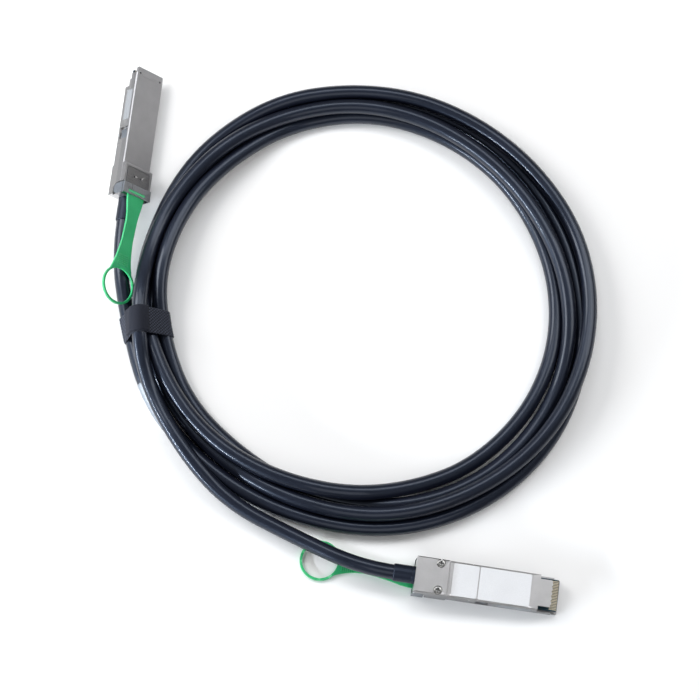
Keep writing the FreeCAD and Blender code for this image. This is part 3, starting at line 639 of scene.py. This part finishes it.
def weave_height(u, v, kind):
    """0..1 height of the tape's face at u mm along and v mm across."""
    if kind == "plain":
        return 0.5 + 0.25 * math.sin(2 * math.pi * u / 0.62) * math.sin(2 * math.pi * v / 0.62)
    if kind == "rib":
        return 0.5 + 0.5 * math.tanh(2.0 * math.sin(2 * math.pi * (0.92 * v - 0.30 * u) / 1.45))
    a = math.sin(2 * math.pi * (0.62 * u + 0.78 * v) / 1.25)
    b = math.sin(2 * math.pi * (0.62 * u - 0.78 * v) / 1.25)
    return max(0.0, min(1.0, 0.42 + 0.34 * (a + b)))


def band(name, rows, i0, i1, lift0, thick, kinds, edge_mm=0.5, shift=0.0):
    """A strip of tape over rows[.][i0..i1], lift0 above the cable and thick."""
    closed = (i1 - i0) >= STRAP_N
    n = STRAP_N if closed else i1 - i0 + 1
    J = len(rows)
    idx = [(i0 + k) % STRAP_N for k in range(n)]
    verts, tape = [], []
    per = []
    mid = rows[J // 2]
    acc = 0.0
    for k in range(n):
        per.append(acc)
        a, b = mid[idx[k]], mid[idx[(k + 1) % n]] if (closed or k + 1 < n) else mid[idx[k]]
        acc += math.dist(a, b) / MM
    span = per[-1]
    for side in (0, 1):
        for j in range(J):
            row = rows[j]
            tau = STRAP_V0 + (STRAP_V1 - STRAP_V0) * j / (J - 1) + shift
            vmm = (STRAP_V1 - STRAP_V0) / MM * j / (J - 1)
            for k in range(n):
                i = idx[k]
                p = row[i]
                q0, q1 = row[(i - 2) % STRAP_N], row[(i + 2) % STRAP_N]
                tx, tz = q1[0] - q0[0], q1[1] - q0[1]
                L = math.hypot(tx, tz) or 1e-9
                nx, nz = -tz / L, tx / L
                cx = sum(x for x, _ in (row[0], row[STRAP_N // 4], row[STRAP_N // 2], row[3 * STRAP_N // 4])) / 4
                cz = sum(z for _, z in (row[0], row[STRAP_N // 4], row[STRAP_N // 2], row[3 * STRAP_N // 4])) / 4
                if nx * (p[0] - cx) + nz * (p[1] - cz) < 0:
                    nx, nz = -nx, -nz
                if side == 0:
                    off = lift0
                    h = 0.5
                else:
                    kind = kinds(p[0] / MM)
                    h = weave_height(per[k], vmm, kind)
                    if not closed:
                        # the cut ends are pressed thin; as the colour follows this height, they are also painted
                        # darker there as shade
                        h *= min(1.0, min(per[k], span - per[k]) / 0.7)
                    # selvedge: the tape thins a little at its edges
                    e = min(vmm, (STRAP_V1 - STRAP_V0) / MM - vmm)
                    rim = 1.0 if e > edge_mm else 0.55 + 0.45 * e / edge_mm
                    off = lift0 + thick * (0.78 * rim + 0.22 * h * rim)
                verts.append(to_world(tau, (p[0] + nx * off, max(p[1] + nz * off, 0.00004))))
                tape.append((per[k] * MM, vmm * MM, h))
    faces = []

    def at(s, j, k):
        return s * J * n + j * n + (k % n if closed else k)
    kk = n if closed else n - 1
    for j in range(J - 1):
        for k in range(kk):
            faces.append((at(1, j, k), at(1, j, k + 1), at(1, j + 1, k + 1), at(1, j + 1, k)))
            faces.append((at(0, j, k), at(0, j + 1, k), at(0, j + 1, k + 1), at(0, j, k + 1)))
    for j in (0, J - 1):
        for k in range(kk):
            faces.append((at(0, j, k), at(0, j, k + 1), at(1, j, k + 1), at(1, j, k)))
    if not closed:
        for k in (0, n - 1):
            for j in range(J - 1):
                faces.append((at(0, j, k), at(1, j, k), at(1, j + 1, k), at(0, j + 1, k)))
    return verts, faces, tape


def add_tape_attribute(ob, tape):
    at = ob.data.attributes.new("tape", "FLOAT_VECTOR", "POINT")
    for i, t in enumerate(tape):
        at.data[i].vector = t


rows = strap_grid()
STRAP_T1, STRAP_T2 = 0.75 * MM, 1.05 * MM
v, f, t = band("strap", rows, 0, STRAP_N, 0.0, STRAP_T1, lambda r: "rib" if r > 122.5 else "cross")
strap = mesh_object("hook_loop_strap", v, f, strap_material("strap_twill", "rib"), sharp=60)
add_tape_attribute(strap, t)
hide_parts("cable_strap")

# the free end of the tape, pressed down over the first turn
mid_row = rows[len(rows) // 2]
over = [i for i in range(STRAP_N) if 113.6 * MM < mid_row[i][0] < 123.9 * MM and mid_row[i][1] > 0.012]
v, f, t = band("flap", rows, min(over), max(over), STRAP_T1, STRAP_T2, lambda r: "plain", shift=-0.45 * MM)
flap = mesh_object("strap_free_end", v, f, strap_material("strap_loop_face", "plain"), sharp=60)
add_tape_attribute(flap, t)
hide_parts("cable_strap")

# --------------------------------------------------------- label on the cable
def line_at(s):
    lo, hi = 0, len(RUN) - 1
    while hi - lo > 1:
        mid = (lo + hi) // 2
        if RUN[mid] <= s:
            lo = mid
        else:
            hi = mid
    t = (s - RUN[lo]) / (RUN[hi] - RUN[lo])
    p = LINE[lo].lerp(LINE[hi], t)
    d = (LINE[hi] - LINE[lo]).normalized()
    return p, d


def run_at_angle(deg, smax=0.3):
    for i in range(len(LINE) - 1):
        if RUN[i] > smax:
            break
        a0, a1 = POL[i][0], POL[i + 1][0]
        if a0 <= deg < a1:
            return RUN[i] + (RUN[i + 1] - RUN[i]) * (deg - a0) / (a1 - a0)
    return None


def wrap_label():
    s0, s1 = run_at_angle(198.7), run_at_angle(211.0)
    N, K = 48, 72
    r0 = CABLE_R + 0.05 * MM
    verts, faces, film = [], [], []
    for side in (0, 1):
        for i in range(N + 1):
            p, d = line_at(s0 + (s1 - s0) * i / N)
            up = Vector((0, 0, 1))
            x = d.cross(up).normalized()
            y = x.cross(d).normalized()
            for k in range(K + 1):
                # one turn and a short lap that rides on the start of the turn
                q = k / K
                ang = math.radians(-150 + 385 * q)
                lap = max(0.0, (q - 0.93) / 0.07)
                r = r0 + (0.11 * MM) * side + 0.12 * MM * min(1.0, lap)
                verts.append(p + (x * math.cos(ang) + y * math.sin(ang)) * r)
                film.append((i / N, math.sin(ang), math.cos(ang)))

    def at(s, i, k):
        return s * (N + 1) * (K + 1) + i * (K + 1) + k
    for i in range(N):
        for k in range(K):
            faces.append((at(1, i, k), at(1, i + 1, k), at(1, i + 1, k + 1), at(1, i, k + 1)))
            faces.append((at(0, i, k), at(0, i, k + 1), at(0, i + 1, k + 1), at(0, i + 1, k)))
    for i in (0, N):
        for k in range(K):
            faces.append((at(0, i, k), at(1, i, k), at(1, i, k + 1), at(0, i, k + 1)))
    for k in (0, K):
        for i in range(N):
            faces.append((at(0, i, k), at(0, i + 1, k), at(1, i + 1, k), at(1, i, k)))
    return verts, faces, film


def film_material(name):
    """Thin laminated film: cool white face, painted shade on its outer flank and underside, darker at its first end,
    glossy.
    """
    m = Mat(name)
    at = m.n.new("ShaderNodeAttribute")
    at.attribute_name = "film"
    sx = m.n.new("ShaderNodeSeparateXYZ")
    m.link(at.outputs["Vector"], sx.inputs[0])
    fib = m.noise(1500, 4, 0.6)
    c = m.mix(m.range(fib, 0, 1, 0.3, 0.7), (0.40, 0.45, 0.51), (0.50, 0.55, 0.61))
    # painted shade: darker on the flank facing away from the coil's centre
    side = m.range(sx.outputs["Z"], 0, 1, 0.35, 0.95)
    c = m.mix(m.math("MULTIPLY", side, 0.75), c, (0.20, 0.225, 0.26))
    # painted shade: darker on the lower half and underside
    low_shade = m.range(sx.outputs["Y"], 1, 0, 0.15, 0.6)
    c = m.mix(m.math("MULTIPLY", low_shade, 0.65), c, (0.16, 0.18, 0.21))
    # darker over the first twentieth of the label's length
    end = m.range(sx.outputs["X"], 1, 0, 0.0, 0.05)
    c = m.mix(m.math("MULTIPLY", end, 0.7), c, (0.15, 0.17, 0.20))
    m.color(c)
    m.rough(m.range(m.noise(300, 3, 0.6), 0.22, 0.34, 0.3, 0.7))
    m.bump(fib, 0.08, 0.00004)
    return m.m


v, f, t = wrap_label()
wrap = mesh_object("cable_wrap_label", v, f, film_material("wrap_film"))
attr = wrap.data.attributes.new("film", "FLOAT_VECTOR", "POINT")
for i, q in enumerate(t):
    attr.data[i].vector = q
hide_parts("cable_label")

# --------------------------------------------------------------------- floor
def floor_material():
    m = Mat("floor_white")
    n = m.noise(3.0, 2, 0.5)
    m.color(m.mix(n, (0.93, 0.93, 0.93), (0.95, 0.95, 0.95)))
    m.set(Roughness=0.75, Specular_IOR_Level=0.2)
    m.bump(m.noise(400, 2, 0.5), 0.02, 0.0002)
    return m.m


me = bpy.data.meshes.new("floor")
S = 6.0
me.from_pydata([(-S, -S, 0), (S, -S, 0), (S, S, 0), (-S, S, 0)], [], [(0, 1, 2, 3)])
floor = bpy.data.objects.new("floor", me)
bpy.context.scene.collection.objects.link(floor)
me.materials.append(floor_material())

# --------------------------------------------------------------------- light
def area(name, loc, target, size, size_y, power, color=(1, 1, 1)):
    d = bpy.data.lights.new(name, "AREA")
    d.shape = "RECTANGLE"
    d.size = size
    d.size_y = size_y
    d.energy = power
    d.color = color
    o = bpy.data.objects.new(name, d)
    bpy.context.scene.collection.objects.link(o)
    o.location = loc
    o.rotation_euler = (Vector(target) - Vector(loc)).to_track_quat("-Z", "Y").to_euler()
    return o


area("west", (-0.52, 0.22, 0.47), (-0.10, 0.05, 0), 0.38, 0.38, 3.4, (1.0, 0.995, 0.985))
area("east", (0.56, 0.22, 0.48), (0.10, 0.05, 0), 0.40, 0.40, 1.7, (1.0, 0.995, 0.985))
area("top", (0.14, 0.66, 1.20), (0.05, 0.05, 0), 1.30, 0.45, 7.2, (0.94, 0.965, 1.0))
area("strip", (-1.25, -0.62, 0.36), (0, 0, 0), 1.0, 0.03, 24.0, (0.86, 0.93, 1.0))
area("fill", (0.1, -0.9, 1.2), (0, 0, 0), 0.9, 0.9, 3.4, (1.0, 0.995, 0.99))

world = bpy.data.worlds.new("studio")
bpy.context.scene.world = world
world.use_nodes = True
wn = world.node_tree.nodes
wl = world.node_tree.links
wn.clear()
wo = wn.new("ShaderNodeOutputWorld")
bg = wn.new("ShaderNodeBackground")
tc = wn.new("ShaderNodeTexCoord")
sx = wn.new("ShaderNodeSeparateXYZ")
ramp = wn.new("ShaderNodeValToRGB")
wl.new(tc.outputs["Generated"], sx.inputs[0])
wl.new(sx.outputs["Z"], ramp.inputs[0])
ramp.color_ramp.elements[0].position = 0.0
ramp.color_ramp.elements[0].color = (0.50, 0.50, 0.50, 1)
ramp.color_ramp.elements[1].position = 0.75
ramp.color_ramp.elements[1].color = (0.34, 0.34, 0.345, 1)
wl.new(ramp.outputs[0], bg.inputs[0])
bg.inputs[1].default_value = 0.42
wl.new(bg.outputs[0], wo.inputs[0])

bpy.context.scene.view_settings.view_transform = "Standard"
bpy.context.scene.view_settings.look = "None"
bpy.context.scene.view_settings.exposure = 0.0
